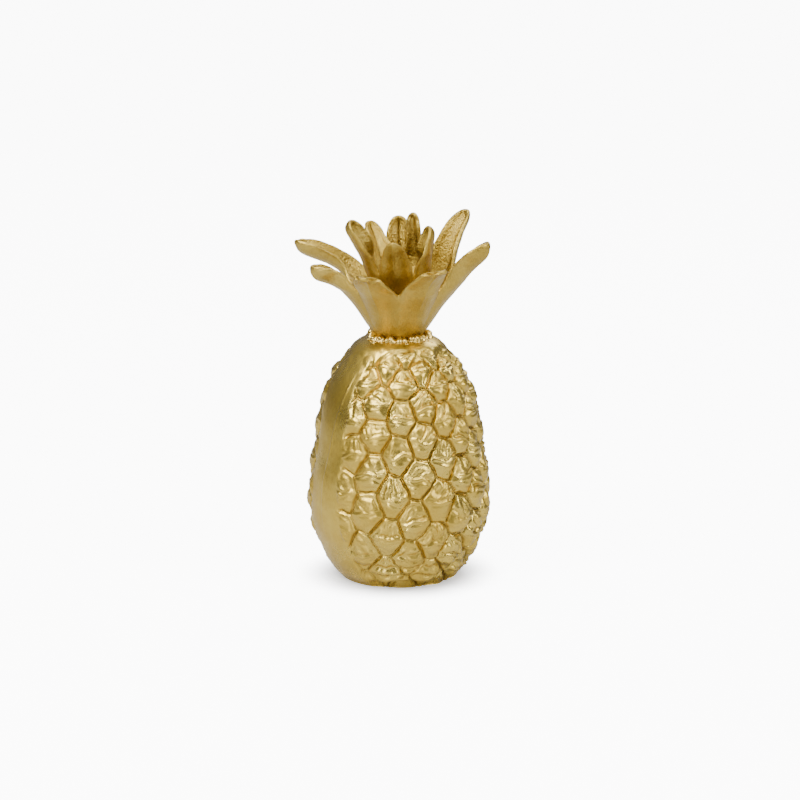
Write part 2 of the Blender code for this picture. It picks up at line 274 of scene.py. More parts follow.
def make_sand_grain() -> bpy.types.NodeTree:
    """A group for the skin that a sand mould leaves: fine grains and soft hammered waves."""
    group, build, given, result = new_group(
        "sand_grain", [("Vector", "NodeSocketVector"), ("Coarse", "NodeSocketFloat")],
        [("Height", "NodeSocketFloat"), ("Mask", "NodeSocketFloat")])
    fine = build.noise(given.outputs["Vector"], 1500.0, 2.0, 0.6)
    coarse = build.noise(given.outputs["Vector"], 760.0, 3.0, 0.65)
    waves = build.noise(given.outputs["Vector"], 90.0, 1.0)
    grains = build.math("MULTIPLY", coarse, given.outputs["Coarse"])
    height = build.math("ADD", build.math("MULTIPLY", fine, 0.30), grains)
    height = build.math("ADD", height, build.math("MULTIPLY", waves, 0.9))
    build.tree.links.new(height, result.inputs["Height"])
    build.tree.links.new(build.ramp(coarse, 0.35, 0.7), result.inputs["Mask"])
    return group


def make_gold_tone() -> bpy.types.NodeTree:
    """A group for how the gold's colour changes: cloudy patches, brown specks, and painted shade in the
    hollows.
    """
    group, build, given, result = new_group(
        "gold_tone",
        [("Vector", "NodeSocketVector"), ("Painted Shade", "NodeSocketFloat"), ("Gold", "NodeSocketColor"),
         ("Pale", "NodeSocketColor"), ("Shade And Speck Colour", "NodeSocketColor")],
        [("Color", "NodeSocketColor"), ("Cloud", "NodeSocketFloat")])
    cloud = build.ramp(build.noise(given.outputs["Vector"], 55.0, 3.0, 0.55), 0.38, 0.68)
    tone = build.mix(cloud, given.outputs["Gold"], given.outputs["Pale"])
    speck = build.ramp(build.noise(given.outputs["Vector"], 700.0, 2.0, 0.6), 0.55, 0.75, 0.0, 0.18)
    # Painted shade in the hollows, together with random brown specks, turns the gold towards the deep colour.
    share = build.math("MAXIMUM", given.outputs["Painted Shade"], speck)
    tone = build.mix(share, tone, given.outputs["Shade And Speck Colour"])
    build.tree.links.new(tone, result.inputs["Color"])
    build.tree.links.new(cloud, result.inputs["Cloud"])
    return group


@dataclass(frozen=True)
class GoldFinish:
    """A satin gold finish.

    Attributes:
        name: The material's name.
        gold: Its main colour.
        pale: Colour of its cloudy patches.
        shade_and_speck_colour: Colour of the painted shade in its hollows, and of its specks.
        roughness: Roughness between the patches.
        grain: Strength of the coarse grain.
        bump: Height of the grain in metres.
        grain_roughness: What the coarse grain adds to the roughness.
        bump_strength: Share of the grain's height that is used.
        coat: Weight of the clear coat.
        coat_roughness: Roughness of the clear coat.
    """

    name: str
    gold: tuple
    pale: tuple
    shade_and_speck_colour: tuple
    roughness: float
    grain: float
    bump: float
    grain_roughness: float = 0.10
    bump_strength: float = 0.6
    coat: float = 0.10
    coat_roughness: float = 0.22

    def build(self, grain_group: bpy.types.NodeTree, tone_group: bpy.types.NodeTree) -> bpy.types.Material:
        """Makes the material.

        Args:
            grain_group: The shared sand grain.
            tone_group: The shared colour changes, painted shade included.

        Returns:
            The material.
        """
        material = bpy.data.materials.new(self.name)
        material.use_nodes = True
        build = NodeTree(material.node_tree)
        shader = material.node_tree.nodes["Principled BSDF"]
        place_of = build.node("ShaderNodeTexCoord").outputs["Object"]
        # The share of painted shade that each piece keeps at its points.
        painted_shade = build.node("ShaderNodeAttribute", {"attribute_name": "painted_shade"}).outputs["Fac"]
        rough = build.node("ShaderNodeAttribute", {"attribute_name": "rough"}).outputs["Fac"]
        grain = build.node("ShaderNodeGroup", {"node_tree": grain_group},
                           {"Vector": place_of, "Coarse": build.math("MULTIPLY", rough, self.grain)})
        tone = build.node("ShaderNodeGroup", {"node_tree": tone_group},
                          {"Vector": place_of, "Painted Shade": painted_shade, "Gold": (*self.gold, 1.0),
                           "Pale": (*self.pale, 1.0), "Shade And Speck Colour": (*self.shade_and_speck_colour, 1.0)})
        build.tree.links.new(tone.outputs["Color"], shader.inputs["Base Color"])
        shine = build.ramp(tone.outputs["Cloud"], 0.0, 1.0, self.roughness + 0.05, self.roughness - 0.04)
        dulling = build.math("MULTIPLY", grain.outputs["Mask"],
                             build.math("MULTIPLY", rough, self.grain_roughness))
        build.tree.links.new(build.math("ADD", shine, dulling), shader.inputs["Roughness"])
        bump = build.node("ShaderNodeBump", values={"Strength": self.bump_strength, "Distance": self.bump,
                                                    "Height": grain.outputs["Height"]})
        build.tree.links.new(bump.outputs["Normal"], shader.inputs["Normal"])
        shader.inputs["Metallic"].default_value = 1.0
        shader.inputs["Coat Weight"].default_value = self.coat
        shader.inputs["Coat Roughness"].default_value = self.coat_roughness
        return material


# The last colour of each finish is the painted shade in its hollows, also used for its specks.
FRUIT_GOLD = GoldFinish("fruit_gold", gold=(0.585, 0.405, 0.064), pale=(0.665, 0.485, 0.10),
                        shade_and_speck_colour=(0.26, 0.16, 0.026), roughness=0.29, grain=0.9, bump=0.20 * MM)
WELD_GOLD = GoldFinish("weld_gold", gold=(0.63, 0.44, 0.10), pale=(0.72, 0.53, 0.16),
                       shade_and_speck_colour=(0.22, 0.13, 0.02), roughness=0.22, grain=0.2, bump=0.10 * MM)
LEAF_GOLD = GoldFinish("leaf_gold", gold=(0.462, 0.316, 0.052), pale=(0.537, 0.383, 0.080),
                       shade_and_speck_colour=(0.205, 0.12, 0.02), roughness=0.34, grain=2.2, bump=0.7 * MM)


# Fruit

# Height and radius of the outline's points in millimetres. Those below the base only steer the curve.
FRUIT_OUTLINE = [(-16.0, 6.0), (-9.0, 22.5), (0.0, 33.0), (5.4, 38.0), (16.2, 43.9), (33.8, 50.0),
                 (54.0, 50.5), (74.3, 47.6), (94.6, 44.6), (110.8, 39.2), (122.5, 31.5),
                 (129.1, 25.2), (131.6, 22.0), (133.2, 18.6), (134.0, 15.6), (134.4, 11.0)]
FRUIT_BASE = 2  # number of the outline's point at the base
FRUIT_TOP = 134.0
# Degrees and millimetres from an eye's place on the spiral to its place in the photo.
EYE_SHIFTS = {-43: (-3.5, -3.0), -42: (0.0, 0.8), -32: (-1.0, -0.6), -31: (4.0, 2.8), -22: (-3.0, -1.4),
              -21: (0.5, 0.1), -11: (-1.0, -0.4), -10: (1.1, 1.1), -1: (0.4, -0.5), 0: (1.5, 1.1),
              1: (3.6, 0.0), 9: (-1.0, -2.4), 10: (0.0, -1.0), 11: (-1.0, 0.6), 20: (1.3, -0.8),
              21: (1.4, 0.5), 22: (-2.4, -2.4), 31: (0.0, -3.2), 32: (-3.0, -2.8), 42: (0.0, 1.4)}


@dataclass
class EyePlaces:
    """Where the skin's points lie in their eyes, in millimetres, and how boldly each is carved.

    Attributes:
        points: Places on the smooth skin.
        view_side: Degrees to the right of the camera's azimuth.
        edge: Distance to the eye's edge.
        across: Distance to the right of the eye's middle.
        up: Distance above the eye's middle, along the skin.
        number: The eye's number.
        inside: 0 at the eye's edge and 1 within.
        shaded: 1 on the side away from the key light.
        foot: 1 where the front of the foot is plain.
        busy: How bold the lips and folds are.
    """

    points: np.ndarray
    view_side: np.ndarray
    edge: np.ndarray
    across: np.ndarray
    up: np.ndarray
    number: np.ndarray
    inside: np.ndarray = field(init=False)
    shaded: np.ndarray = field(init=False)
    foot: np.ndarray = field(init=False)
    busy: np.ndarray = field(init=False)

    def __post_init__(self):
        side, height = self.view_side, self.points[:, 2]
        self.inside = smoothstep(0.4, 2.4, self.edge)
        self.shaded = smoothstep(10.0, 50.0, side) * (1.0 - smoothstep(80.0, 110.0, side))
        self.foot = (1.0 - smoothstep(11.0, 21.0, height)) * (0.25 + 0.75 * bell(side - 8.0, 42.0))
        seen = 0.6 + 0.5 * smoothstep(-25.0, 20.0, side) + 0.1 * smoothstep(20.0, 60.0, side)
        busy = np.where(side > 135.0, 0.8, seen) - 0.25 * smoothstep(-50.0, -75.0, side)
        busy *= 1.0 + 0.45 * (1.0 - smoothstep(18.0, 55.0, height))
        self.busy = busy * (1.0 - 0.75 * self.foot)


@dataclass
class FruitBody:
    """The carved fruit. Its sizes are in millimetres, and depths count inwards from the smooth outline."""

    # The grid, which is closer on the seen side.
    around: int = 404
    rows: int = 238
    crowding: float = 0.38
    # The spiral of eyes: azimuth and arc of eye 0, and the way from each eye to the next.
    eye_first: int = -91
    eye_last: int = 98
    zero_azimuth: float = -34.5
    zero_arc: float = 81.5
    eye_turn: float = -34.14
    eye_climb: float = 1.02
    eye_slowing: float = 0.0015
    squash: float = 0.84
    # The ground bands and the mould line.
    band_half_width: float = 12.0
    band_foot_spread: float = 4.0
    band_foot_height: float = 60.0
    band_depth: float = 1.15
    band_edge: float = 2.8
    seam_step: float = 0.30
    seam_ridge: float = 0.38
    # The relief of the eyes.
    least_depth: float = 0.7
    groove_depth: float = 2.5
    groove_reach: float = 6.4
    slit_depth: float = 0.75
    rim_height: float = 0.42
    upper_drop: float = 0.85
    pad_bulge: float = 0.95
    above_lip: float = 1.35
    lip_height: float = 1.05
    below_lip: float = 0.70
    fold_height: float = 1.25
    small_height: float = 0.25
    pad_height: float = 0.75
    fold_floor: float = 0.35
    # The foot and both ends.
    foot_depth: float = 0.7
    foot_wave: float = 1.1
    foot_tuck: float = 0.7
    cap_inset: float = 6.0

    def eye_centres(self) -> np.ndarray:
        """Azimuth in radians, arc length and number of each eye, in rows."""
        centres = []
        for index in range(self.eye_first, self.eye_last + 1):
            wander = (0.9 * math.sin(index * 4.1), 0.9 * math.sin(index * 2.4))
            turn, climb = EYE_SHIFTS.get(index, wander)
            arc = self.zero_arc + self.eye_climb * index - self.eye_slowing * index * index + climb
            centres.append((math.radians(self.zero_azimuth + self.eye_turn * index + turn), arc, index))
        return np.array(centres)

    def outline(self) -> tuple:
        """Arc lengths, radii, heights and outward normals of the grid's rows."""
        pieces = 24
        curve = np.array(catmull_rom([(r, z) for z, r in FRUIT_OUTLINE], pieces))
        steps = np.hypot(*np.diff(curve, axis=0).T)
        arcs = np.concatenate([[0.0], np.cumsum(steps)])
        arcs -= arcs[FRUIT_BASE * pieces]
        top_arc = np.interp(FRUIT_TOP, curve[:, 1], arcs)
        rows = np.linspace(0.0, top_arc, self.rows)
        radius = np.interp(rows, arcs, curve[:, 0])
        height = np.interp(rows, arcs, curve[:, 1])
        slope_r, slope_z = np.gradient(radius, rows), np.gradient(height, rows)
        length = np.hypot(slope_r, slope_z)
        return rows, radius, height, slope_z / length, -slope_r / length

    def cells(self, azimuth: np.ndarray, arc: np.ndarray, radius: np.ndarray) -> tuple:
        """Where each point lies in its eye.

        Args:
            azimuth: Azimuths in radians.
            arc: Arc lengths.
            radius: Radii.

        Returns:
            The distance to the eye's edge, the places across and up from its middle, and its number.
        """
        centres = self.eye_centres()
        edge, across, up, number = (np.zeros(len(azimuth)) for _ in range(4))
        block = 6000  # points at a time, to save memory
        for start in range(0, len(azimuth), block):
            part = slice(start, start + block)
            turn = (azimuth[part, None] - centres[None, :, 0] + math.pi) % math.tau - math.pi
            x = turn * radius[part, None]
            y = (arc[part, None] - centres[None, :, 1]) * self.squash
            distance = x * x + y * y
            nearest = distance.argmin(axis=1)
            pick = np.arange(len(nearest))
            own_x, own_y, own = x[pick, nearest], y[pick, nearest], distance[pick, nearest]
            apart = np.hypot(own_x[:, None] - x, own_y[:, None] - y)
            apart[pick, nearest] = 1.0
            gaps = (distance - own[:, None]) / (2.0 * apart)
            gaps[pick, nearest] = math.inf
            edge[part] = gaps.min(axis=1)
            across[part], up[part] = own_x, own_y / self.squash
            number[part] = centres[nearest, 2]
        return edge, across, up, number

    def eye_relief(self, eye: EyePlaces) -> tuple:
        """The groove, rim, pad, lip and folds of each eye, and the plain waves of the foot.

        Args:
            eye: Where the points lie in their eyes.

        Returns:
            Depths in millimetres, shares of painted shade along the grooves and in the dip above each lip, and
            the shares of the folded upper parts.
        """
        across, up, number, inside, busy = eye.across, eye.up, eye.number, eye.inside, eye.busy
        groove = self.groove_depth * np.clip(1.0 - eye.edge / self.groove_reach, 0.0, 1.0) ** 2.2
        groove = groove + self.slit_depth * bell(eye.edge, 0.42)
        depth = self.least_depth + (1.0 + 0.35 * eye.shaded) * groove
        depth -= self.rim_height * bell(eye.edge - 1.1, 0.5)
        depth += self.upper_drop * smoothstep(-0.5, 3.2, up) * inside
        depth -= self.pad_bulge * bell(up + 3.8, 3.2) * bell(across, 6.0) * (1.0 - eye.foot)

        line = -0.7 + 1.1 * np.sin(across / 3.6 + number) + 0.6 * np.sin(across / 1.7 + number * 2.3)
        line += 0.10 * across * np.sin(number * 1.9)
        rise = up - line
        reach = smoothstep(-8.5, -3.0, across * np.sign(np.sin(number * 5.1) + 0.6)) * inside
        lip = self.above_lip * bell(rise - 1.1, 0.8) - self.lip_height * bell(rise + 0.2, 0.75)
        lip = lip + self.below_lip * bell(rise + 1.6, 0.6)
        strength = 0.72 + 0.28 * np.sin(number * 3.7)
        depth += lip * reach * busy * strength

        sway = 2.4 * noise_at(np.stack([across * 0.13, up * 0.13, number * 4.7], axis=1), 1.0, 8.8)
        lean = 0.9 * np.sin(number * 2.4)
        over = across * np.cos(lean) + up * np.sin(lean) + sway
        down = up * np.cos(lean) - across * np.sin(lean)
        folds = billow((over * 0.25, down * 0.08, number * 5.3), 0.7, 2.6, 1.1)
        small = billow((over * 0.42, down * 0.16, number * 3.1), 2.7, 2.2, 1.0)
        pads = billow(((across + up) * 0.08, (up + sway) * 0.30, number * 2.2), 6.1, 2.4, 1.0)
        upper = smoothstep(-0.3, 1.6, rise) * inside
        lower = (1.0 - smoothstep(-2.6, -0.5, rise)) * inside
        depth -= upper * busy * (self.fold_height * folds + self.small_height * small - self.fold_floor)
        depth -= lower * busy * (self.pad_height * pads - self.fold_floor)

        x, y, z = eye.points.T
        wave = noise_at(np.stack([x * 0.08, y * 0.08, z * 0.02], axis=1), 1.0, 4.4)
        foot_wave = self.foot_depth + self.foot_wave * np.sin(z * 1.15 + wave * 2.0)
        depth += eye.foot * foot_wave * smoothstep(0.3, 2.2, eye.edge)
        # Painted shade: darker colour along the grooves and in the dip above each lip.
        return depth, bell(eye.edge, 0.55) + 0.4 * bell(rise - 0.85, 0.45) * reach * busy, upper

    def ground_relief(self, eye: EyePlaces) -> tuple:
        """The ground bands and the collar, with the mould line and the creases of the dome.

        Args:
            eye: Where the points lie in their eyes.

        Returns:
            Depths in millimetres, the shares that are carved rather than ground, and the creases' depths.
        """
        points, height = eye.points, eye.points[:, 2]
        foot_band = 1.0 - smoothstep(0.0, self.band_foot_height, height)
        band = self.band_half_width + self.band_foot_spread * foot_band
        off_band = np.abs(points[:, 1]) + 0.9 * noise_at(points, 0.16, 40.0)
        collar = smoothstep(125.0, 129.5, height)
        carved = smoothstep(band, band + self.band_edge, off_band) * (1.0 - collar)
        ground = self.band_depth * (1.0 - 0.7 * collar)
        ground += 0.12 * noise_at(points, 0.09, 51.0) + 0.04 * noise_at(points, 0.5, 60.0)
        dome = smoothstep(112.0, 120.0, height) * (1.0 - smoothstep(129.5, 131.5, height))
        dome *= 0.25 + 0.75 * bell(eye.view_side - 40.0, 60.0)
        creases = dome * (0.9 - 2.2 * np.minimum(np.abs(noise_at(points, 0.16, 23.0)), 0.55))
        ground += creases
        seam = smoothstep(20.0, 80.0, height) * (1.0 - smoothstep(108.0, 120.0, height))
        seam_place = np.where(points[:, 0] < 0.0, -4.0 - 0.146 * (height - 84.0), 0.0)
        behind = points[:, 1] - np.clip(seam_place, -8.0, 0.0)
        ground += (self.seam_step * smoothstep(-0.2, 0.9, behind)
                   - self.seam_ridge * bell(behind + 0.3, 0.5)) * seam
        return ground, carved, creases

    def carving(self, points: np.ndarray, azimuth: np.ndarray, arc: np.ndarray, radius: np.ndarray) -> tuple:
        """How deep each point of the skin lies below the smooth outline.

        Args:
            points: Places on the smooth skin.
            azimuth: Azimuths in radians.
            arc: Arc lengths.
            radius: Radii.

        Returns:
            Depths in millimetres, shares of painted shade and roughness shares.
        """
        warp_a = noise_at(points, 0.11, 3.0) * 1.1 + noise_at(points, 0.33, 9.0) * 0.45
        warp_b = noise_at(points, 0.11, 17.0) * 1.1 + noise_at(points, 0.33, 29.0) * 0.45
        view_side = np.degrees(azimuth) - CAMERA_AZIMUTH
        view_side = (view_side + 180.0) % 360.0 - 180.0
        eye = EyePlaces(points, view_side, *self.cells(azimuth + warp_a / radius, arc + warp_b, radius))
        depth, painted_shade, upper = self.eye_relief(eye)
        ground, carved, creases = self.ground_relief(eye)
        depth += creases * smoothstep(3.5, 6.0, eye.edge)
        depth = depth * carved + ground * (1.0 - carved)
        # A soft limit, so that no point rises above the smooth outline.
        depth = 0.05 + 0.5 * (depth + np.sqrt(depth * depth + 0.35))
        # Painted shade, stronger on the side away from the key light, and none on the ground bands and the
        # collar.
        painted_shade = (0.75 + 0.25 * eye.shaded) * (painted_shade * carved)
        return depth, np.clip(painted_shade, 0.0, 1.0), 0.25 + 0.75 * upper * carved

    def build(self, material: bpy.types.Material) -> bpy.types.Object:
        """Makes the fruit.

        Args:
            material: Its finish.

        Returns:
            The piece.
        """
        arcs, radii, heights, out_r, out_z = self.outline()
        turns = np.linspace(0.0, math.tau, self.around, endpoint=False)
        turns = turns - self.crowding * np.sin(turns) + math.radians(CAMERA_AZIMUTH)
        azimuth = np.tile(turns, self.rows)
        arc, radius, height, normal_r, normal_z = (np.repeat(v, self.around) for v in
                                                   (arcs, radii, heights, out_r, out_z))
        points = np.stack([radius * np.sin(azimuth), -radius * np.cos(azimuth), height], axis=1)
        depth, painted_shade, rough = self.carving(points, azimuth, arc, radius)
        above_base = smoothstep(0.0, 1.2, height)
        sunk_r = radius - normal_r * depth - (1.0 - above_base) * self.foot_tuck
        sunk_z = np.clip(height - normal_z * depth * above_base, 0.0, FRUIT_TOP)
        sunk_z = np.where(np.arange(len(sunk_z)) < self.around, 0.0, sunk_z)
        skin = np.stack([sunk_r * np.sin(azimuth), -sunk_r * np.cos(azimuth), sunk_z], axis=1)
        bm = bmesh.new()
        # Each point keeps its share of painted shade and its roughness share.
        painted_shade_layer = bm.verts.layers.float.new("painted_shade")
        rough_layer = bm.verts.layers.float.new("rough")
        verts = [bm.verts.new(point * MM) for point in skin]
        for vert, low, grain in zip(verts, painted_shade, rough):
            vert[painted_shade_layer] = low
            vert[rough_layer] = grain
        for row in range(self.rows - 1):
            for column in range(self.around):
                after = (column + 1) % self.around
                low, high = row * self.around, (row + 1) * self.around
                bm.faces.new((verts[low + column], verts[low + after], verts[high + after],
                              verts[high + column]))
        for ring, up in ((verts[:self.around], False), (verts[-self.around:], True)):
            cap = bm.faces.new(ring if up else ring[::-1])
            bmesh.ops.inset_individual(bm, faces=[cap], thickness=self.cap_inset * MM)
        bmesh.ops.recalc_face_normals(bm, faces=list(bm.faces))
        mesh = mesh_from(bm, "fruit_skin")
        mesh.shade_smooth()
        return add_piece("fruit_skin", mesh, material, ["fruit"])


# Crown


@dataclass(frozen=True)
class Leaf:
    """Measures of one leaf. Angles are in degrees and sizes in millimetres.

    Attributes:
        base_azimuth: Azimuth of its middle at the cup's rim.
        tip_azimuth: Azimuth of its tip.
        tip_radius: Distance of its tip from the axis.
        tip_height: Height of its tip.
        tip_pitch: Climb of its middle line at the tip.
        half_width: Half its greatest width.
        rise: Climb of its middle line at the rim.
        trough: Depth of its channel, as a multiple of the cup's own curve.
        neck: Share of its length over which it takes its width.
        roll: Turn of the blade about its middle line.
    """

    base_azimuth: float
    tip_azimuth: float
    tip_radius: float
    tip_height: float
    tip_pitch: float
    half_width: float
    rise: float
    trough: float
    neck: float
    roll: float = 0.0


@dataclass
class LeafWhorl:
    """A leaf casting: a lobed cup below, and a curved blade for each leaf above. Sizes in millimetres.

    Attributes:
        name: The piece's name.
        node: The CAD node that it stands for.
        cup: Radius and height of the cup's middle lines, from its floor to its rim.
        pinch: How far the rim draws in at the notches, as a share of its radius.
        leaves: The leaves, in order of azimuth.
        groove: Depth of the groove along each leaf's inner face.
        columns: Faces across a leaf.
        cup_rows: Faces up the cup.
        blade_rows: Faces along a blade.
        thickness: Thickness of the casting.
        tip_end_width: Width of the very tip, as a share of the blade's.
        fold: How far the channel's round section turns into a fold.
        trough_reach: Where along the blade the channel reaches its depth.
        tip_lift: How far the tip's channel closes, like the end of a boat.
        ridge: Height of the midrib on the outer face.
        grain: Height of the sand grain on the inner face.
        floor_inset: Width of the ring round the middle of the floor.
    """

    name: str
    node: str
    cup: list
    pinch: float
    leaves: list
    groove: float
    columns: int = 12
    cup_rows: int = 9
    blade_rows: int = 20
    thickness: float = 2.0
    tip_end_width: float = 0.5
    fold: float = 0.4
    trough_reach: float = 0.5
    tip_lift: float = 0.85
    ridge: float = 0.3
    grain: float = 0.17
    floor_inset: float = 3.0

    def __post_init__(self):
        self.curve = [(radius * MM, height * MM) for radius, height in catmull_rom(self.cup, 8)]
        self.floor = self.cup[0][1] * MM
        self.notch = self.cup[-1][1] * MM

    def cup_radius(self, height: float) -> float:
        """Radius of the cup at a leaf's middle."""
        for (r0, z0), (r1, z1) in zip(self.curve, self.curve[1:]):
            if height <= z1:
                break
        return r0 + (r1 - r0) * (height - z0) / (z1 - z0)

    def cup_point(self, number: int, across: float, up: float) -> Vector:
        """A point of the cup. Across runs from -1 to 1 between the notches, up from 0 to 1 at the notch."""
        middle = self.leaves[number].base_azimuth
        left = ((middle - self.leaves[number - 1].base_azimuth) % 360.0) / 2.0
        right = ((self.leaves[(number + 1) % len(self.leaves)].base_azimuth - middle) % 360.0) / 2.0
        azimuth = middle + across * (left if across < 0.0 else right)
        height = self.floor + (self.notch - self.floor) * up
        radius = self.cup_radius(height) * (1.0 - self.pinch * up ** 1.3 * across * across)
        return place(azimuth, radius, height)

    def span(self, leaf: Leaf) -> tuple:
        """Radius and height of both ends of a leaf's middle line, and the distance between them."""
        start = (self.cup_radius(self.notch), self.notch)
        end = (leaf.tip_radius * MM, leaf.tip_height * MM)
        return start, end, math.dist(start, end)

    def middle_line(self, number: int, along: float) -> Vector:
        """A point of the blade's middle line. Along runs from 0 at the notch to 1 at the tip."""
        leaf = self.leaves[number]
        start, end, length = self.span(leaf)
        rise, pitch = math.radians(leaf.rise), math.radians(leaf.tip_pitch)
        leaving = (start[0] + 0.4 * length * math.cos(rise), start[1] + 0.4 * length * math.sin(rise))
        arriving = (end[0] - 0.38 * length * math.cos(pitch), end[1] - 0.38 * length * math.sin(pitch))
        rest = 1.0 - along
        shares = (rest ** 3, 3 * rest * rest * along, 3 * rest * along * along, along ** 3)
        radius, height = (sum(share * point[axis] for share, point in
                              zip(shares, (start, leaving, arriving, end))) for axis in (0, 1))
        turn = float(smoothstep(0.0, 1.0, along)) * (leaf.tip_azimuth - leaf.base_azimuth)
        return place(leaf.base_azimuth + turn, radius, height)

    def axes(self, number: int, along: float) -> tuple:
        """Directions along the blade, across it, and up out of its inner face."""
        start, end = max(along - 0.01, 0.0), min(along + 0.01, 1.0)
        tangent = (self.middle_line(number, end) - self.middle_line(number, start)).normalized()
        middle = self.middle_line(number, along)
        side = Vector((-middle.y, middle.x, 0.0)).normalized()
        side = (side - tangent * side.dot(tangent)).normalized()
        roll = math.radians(self.leaves[number].roll) * float(smoothstep(0.0, self.trough_reach, along))
        side = side * math.cos(roll) + tangent.cross(side) * math.sin(roll)
        return tangent, side, tangent.cross(side)

    def blade_point(self, number: int, across: float, along: float) -> Vector:
        """A point of the blade, which starts as the cup's rim, folds along its middle and ends like a boat.

        Args:
            number: The leaf's number.
            across: -1 at the left edge, 1 at the right edge.
            along: 0 at the notch, 1 at the tip.

        Returns:
            The point.
        """
        leaf = self.leaves[number]
        tangent, side, up = self.axes(number, 0.0)
        foot = self.middle_line(number, 0.0)
        corner = self.cup_point(number, 1.0, 1.0) - foot
        tip_share = 1.15 * leaf.half_width * MM / self.span(leaf)[2]
        turn = max(along - 1.0 + tip_share, 0.0) / tip_share
        closing = 1.0 - (1.0 - 0.98 * turn ** 2.2) ** 0.5
        end = float(smoothstep(0.5, 1.0, along))
        along -= self.tip_end_width * tip_share * end * (1.0 - math.sqrt(1.0 - 0.98 * across * across))
        widening = leaf.half_width * MM / abs(corner.dot(side)) - 1.0
        scale = 1.0 + widening * float(smoothstep(0.0, leaf.neck, along))
        rounding = 1.0 - (1.0 - self.tip_end_width) * closing
        trough = 1.0 + (leaf.trough - 1.0) * float(smoothstep(0.0, self.trough_reach, along))
        lift = self.tip_lift * closing * float(smoothstep(0.0, 0.9, turn))
        ahead, beside, above = self.axes(number, along)
        offset = self.cup_point(number, across, 1.0) - foot
        fold = self.fold * float(smoothstep(0.0, 0.4, along))
        height = offset.dot(up) * (1.0 - fold) + corner.dot(up) * abs(across) * fold
        height = height * (1.0 - lift) + corner.dot(up) * lift
        return (self.middle_line(number, along) + beside * (offset.dot(side) * scale * rounding)
                + above * (height * scale * trough)
                + ahead * (offset.dot(tangent) * (1.0 - along) ** 3))

    def outer_face(self) -> bpy.types.Object:
        """The casting's outer face with its floor, before it has a thickness."""
        bm = bmesh.new()
        across_layer = bm.verts.layers.float.new("across")
        along_layer = bm.verts.layers.float.new("along")
        rows = self.cup_rows + self.blade_rows
        for number in range(len(self.leaves)):
            grid = []
            for row in range(rows + 1):
                if row <= self.cup_rows:
                    point_at, share = self.cup_point, (row / self.cup_rows) ** 1.25
                    along = share - 1.0
                else:
                    step = (row - self.cup_rows) / self.blade_rows
                    point_at, share = self.blade_point, step * (1.3 - 0.3 * step)
                    along = share
                line = []
                for column in range(self.columns + 1):
                    across = 2.0 * column / self.columns - 1.0
                    vert = bm.verts.new(point_at(number, across, share))
                    vert[across_layer] = abs(across)
                    vert[along_layer] = along
                    line.append(vert)
                grid.append(line)
            for low, high in zip(grid, grid[1:]):
                for column in range(self.columns):
                    bm.faces.new((low[column], low[column + 1], high[column + 1], high[column]))
        bmesh.ops.remove_doubles(bm, verts=list(bm.verts), dist=0.00002)
        foot_edges = [edge for edge in bm.edges if edge.is_boundary
                      and all(abs(vert.co.z - self.floor) < 0.00001 for vert in edge.verts)]
        floor = bmesh.ops.holes_fill(bm, edges=foot_edges)["faces"]
        bmesh.ops.inset_individual(bm, faces=floor, thickness=self.floor_inset * MM)
        bmesh.ops.recalc_face_normals(bm, faces=list(bm.faces))
        lowest = min(bm.faces, key=lambda face: face.calc_center_median().z)
        if lowest.normal.z > 0.0:
            bmesh.ops.reverse_faces(bm, faces=list(bm.faces))
        obj = bpy.data.objects.new(self.name, mesh_from(bm, self.name))
        bpy.context.scene.collection.objects.link(obj)
        return obj

    def cast_marks(self, mesh: bpy.types.Mesh, inner: np.ndarray) -> None:
        """Adds the groove, the midrib outside, the streaks and the sand grain, and paints shade along the
        groove and deep in the cup.

        Args:
            mesh: The thick, smooth casting.
            inner: 1 on the inner face and 0 on the outer one, for each vertex.
        """
        count = len(mesh.vertices)
        points, normals = np.zeros(count * 3), np.zeros(count * 3)
        across, along = np.zeros(count), np.zeros(count)
        mesh.vertices.foreach_get("co", points)
        mesh.vertices.foreach_get("normal", normals)
        mesh.attributes["across"].data.foreach_get("value", across)
        mesh.attributes["along"].data.foreach_get("value", along)
        points, normals = points.reshape(-1, 3), normals.reshape(-1, 3)
        in_mm = points / MM
        reach = smoothstep(-0.55, 0.1, along) * (1.0 - smoothstep(0.88, 0.99, along))
        rib = bell(across, 0.09) * reach * inner
        flank = bell(across - 0.26, 0.09) * reach * inner
        move = -self.groove * rib + 0.45 * self.groove * flank
        blade = smoothstep(-0.1, 0.25, along)
        streaks = np.sin(across * 19.0 + 2.0 * noise_at(in_mm, 0.08, 7.0)) * 0.10 * blade * inner
        ridge = self.ridge * bell(across, 0.06) * reach * (1.0 - inner)
        uneven = 0.22 * noise_at(in_mm, 0.16, 12.0) + 0.09 * noise_at(in_mm, 0.45, 31.0)
        grains = self.grain * noise_at(in_mm, 1.25, 3.0) * inner
        move = (move + ridge + streaks + grains + uneven * (0.4 + 0.6 * blade)) * MM
        points += normals * move[:, None]
        mesh.vertices.foreach_set("co", points.ravel())
        # Painted shade: darker along the inner groove and further down the inside of the cup.
        depth = 1.0 - smoothstep(self.floor / MM, self.notch / MM + 4.0, in_mm[:, 2])
        painted_shade = np.clip(0.65 * rib + 0.55 * depth * inner, 0.0, 1.0)
        rough = np.clip(0.35 + 0.75 * inner, 0.0, 1.0)
        for name, values in (("painted_shade", painted_shade), ("rough", rough)):
            layer = mesh.attributes.new(name, "FLOAT", "POINT")
            layer.data.foreach_set("value", values)
        mesh.update()

